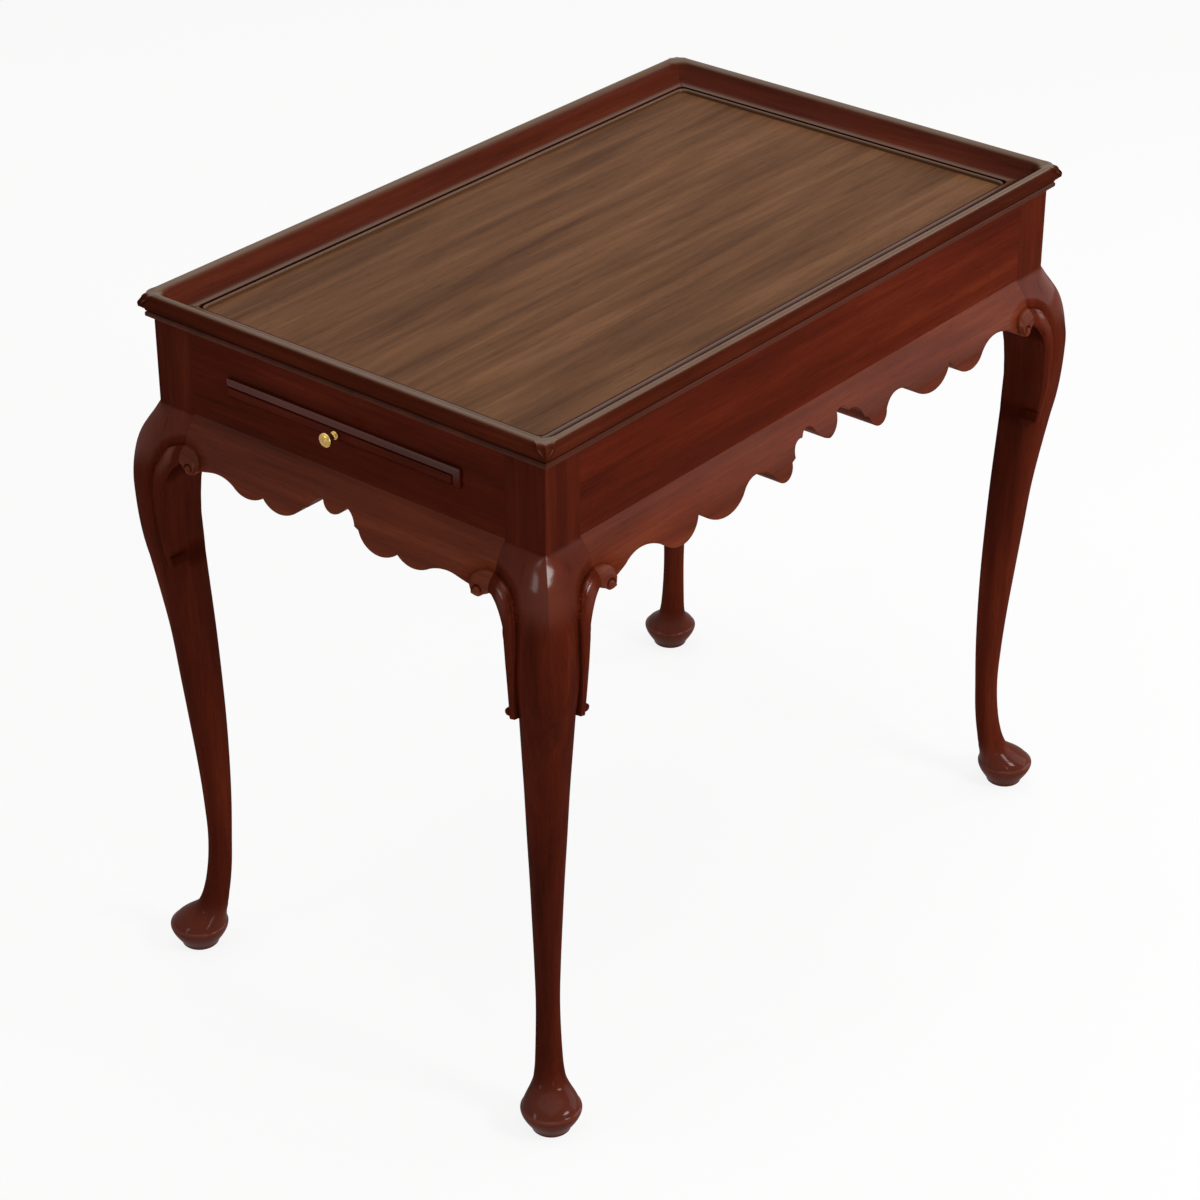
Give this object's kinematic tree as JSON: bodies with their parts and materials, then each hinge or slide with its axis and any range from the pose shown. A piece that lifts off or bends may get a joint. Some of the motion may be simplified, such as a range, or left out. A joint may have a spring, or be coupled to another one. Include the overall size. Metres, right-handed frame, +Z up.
{
  "type": "tea table",
  "caption": "Mahogany tea table with a moulded tray top, scalloped flared skirts, cabriole legs on pad feet and a pull-out candle slide at each end.",
  "frame": {"origin": "on the floor under the middle of the table", "axes": "+Z up, +X along the table's length, +Y across it"},
  "size_m": [0.789, 0.5, 0.686],
  "materials": {
    "mahogany": "semi-gloss lacquer",
    "top_mahogany": "semi-gloss lacquer",
    "skirt_mahogany": "semi-gloss lacquer",
    "inner_wood": "bare",
    "brass": "polished"
  },
  "bodies": {
    "frame": {"top_panel": "top_mahogany", "tray_moulding_front": "mahogany", "tray_moulding_back": "mahogany", "tray_moulding_left": "mahogany", "tray_moulding_right": "mahogany", "leg_front_left": "mahogany", "leg_front_right": "mahogany", "leg_back_left": "mahogany", "leg_back_right": "mahogany", "apron_front": "mahogany", "apron_back": "mahogany", "apron_left": "mahogany", "apron_right": "mahogany", "skirt_front": "skirt_mahogany", "skirt_back": "skirt_mahogany", "skirt_left": "skirt_mahogany", "skirt_right": "skirt_mahogany", "corner_block_front_left": "inner_wood", "corner_block_front_right": "inner_wood", "corner_block_back_left": "inner_wood", "corner_block_back_right": "inner_wood", "slide_runner_front": "inner_wood", "slide_runner_back": "inner_wood", "slide_bearer": "inner_wood", "top_button_front_left": "inner_wood", "top_button_front_middle": "inner_wood", "top_button_front_right": "inner_wood", "top_button_back_left": "inner_wood", "top_button_back_middle": "inner_wood", "top_button_back_right": "inner_wood"},
    "slide_left": {"slide_board_left": "mahogany", "slide_front_left": "mahogany", "slide_stop_left": "inner_wood", "slide_knob_left": "brass"},
    "slide_right": {"slide_board_right": "mahogany", "slide_front_right": "mahogany", "slide_stop_right": "inner_wood", "slide_knob_right": "brass"}
  },
  "joints": [
    {"name": "slide_left_pull", "type": "slide", "parent": "frame", "child": "slide_left", "axis": [-1, 0, 0], "range_m": [0, 0.18]},
    {"name": "slide_right_pull", "type": "slide", "parent": "frame", "child": "slide_right", "axis": [1, 0, 0], "range_m": [0, 0.18]}
  ]
}
